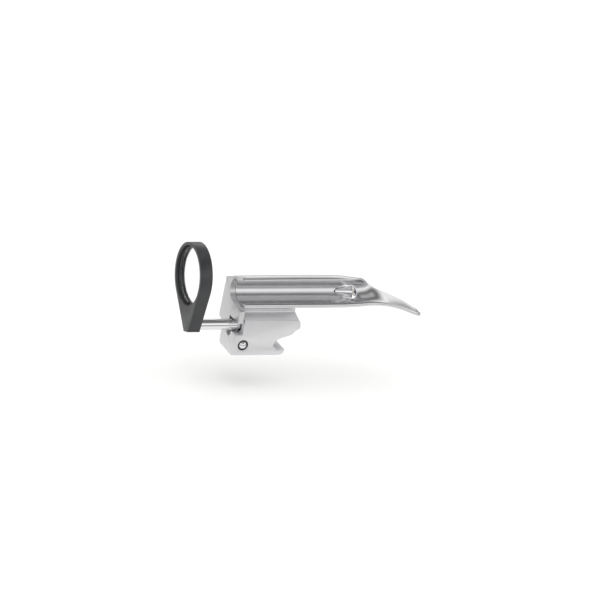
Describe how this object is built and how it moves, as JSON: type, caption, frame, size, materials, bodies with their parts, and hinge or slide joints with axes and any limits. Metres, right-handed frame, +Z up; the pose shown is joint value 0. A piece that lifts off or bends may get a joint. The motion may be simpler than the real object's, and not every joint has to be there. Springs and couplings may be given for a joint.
{
  "type": "laryngoscope",
  "caption": "Straight infant laryngoscope blade with a hook-on heel block, a lamp in a side window, sprung detent balls and a magnifying lens that swings and slides on a rod.",
  "frame": {"origin": "On the flat seat face that rests on the handle, on the centre plane, under the axis of the two detent balls", "axes": "+X towards the blade's tip, +Y towards the lamp side, +Z up from the seat face towards the blade"},
  "size_m": [0.1042, 0.0268, 0.044],
  "materials": {
    "satin_steel": "satin brushed stainless steel",
    "polished_steel": "polished stainless steel",
    "rod_steel": "mirror polished",
    "ball_steel": "mirror polished",
    "dark_steel": "blackened",
    "brass": "turned",
    "insulator": "moulded",
    "lead_sleeve": "matt sleeve",
    "frame_plastic": "satin charcoal",
    "lens_glass": "clear, coated",
    "lamp_glass": "clear"
  },
  "bodies": {
    "root": {"heel_block": "satin_steel", "heel_plate": "satin_steel", "blade": "polished_steel", "wire_cover": "satin_steel", "wire_tube": "polished_steel", "lamp_socket": "polished_steel", "lamp_base": "brass", "lamp_insulator": "insulator", "lamp_contact": "brass", "lamp_glass": "lamp_glass", "lamp_filament": "dark_steel", "contact_bush": "insulator", "contact_pin": "brass", "contact_lock_screw": "dark_steel", "lamp_lead": "lead_sleeve", "ball_retainer_left": "dark_steel", "ball_retainer_right": "dark_steel", "detent_spring_left": "ball_steel", "detent_spring_right": "ball_steel"},
    "bush": {"friction_bush": "dark_steel"},
    "magnifier": {"magnifier_rod": "rod_steel", "lens_frame": "frame_plastic", "lens": "lens_glass", "lens_retaining_ring": "dark_steel", "stem_screw": "dark_steel"},
    "ball_left": {"detent_ball_left": "ball_steel"},
    "ball_right": {"detent_ball_right": "ball_steel"}
  },
  "joints": [
    {"name": "magnifier_swing", "type": "hinge", "parent": "root", "child": "bush", "pos_m": [0.004, -0.0017, 0.0118], "axis": [1, 0, 0], "range_deg": [-97, 133]},
    {"name": "magnifier_slide", "type": "slide", "parent": "bush", "child": "magnifier", "axis": [1, 0, 0], "range_m": [-0.0055, 0.0105]},
    {"name": "detent_right", "type": "slide", "parent": "root", "child": "ball_right", "axis": [0, 1, 0], "range_m": [0, 0.0009], "stiffness_N_per_m": 1000, "springref_m": -0.0008, "deforming": ["detent_spring_right"]},
    {"name": "detent_left", "type": "slide", "parent": "root", "child": "ball_left", "axis": [0, -1, 0], "range_m": [0, 0.0009], "stiffness_N_per_m": 1000, "springref_m": -0.0008, "deforming": ["detent_spring_left"]}
  ]
}
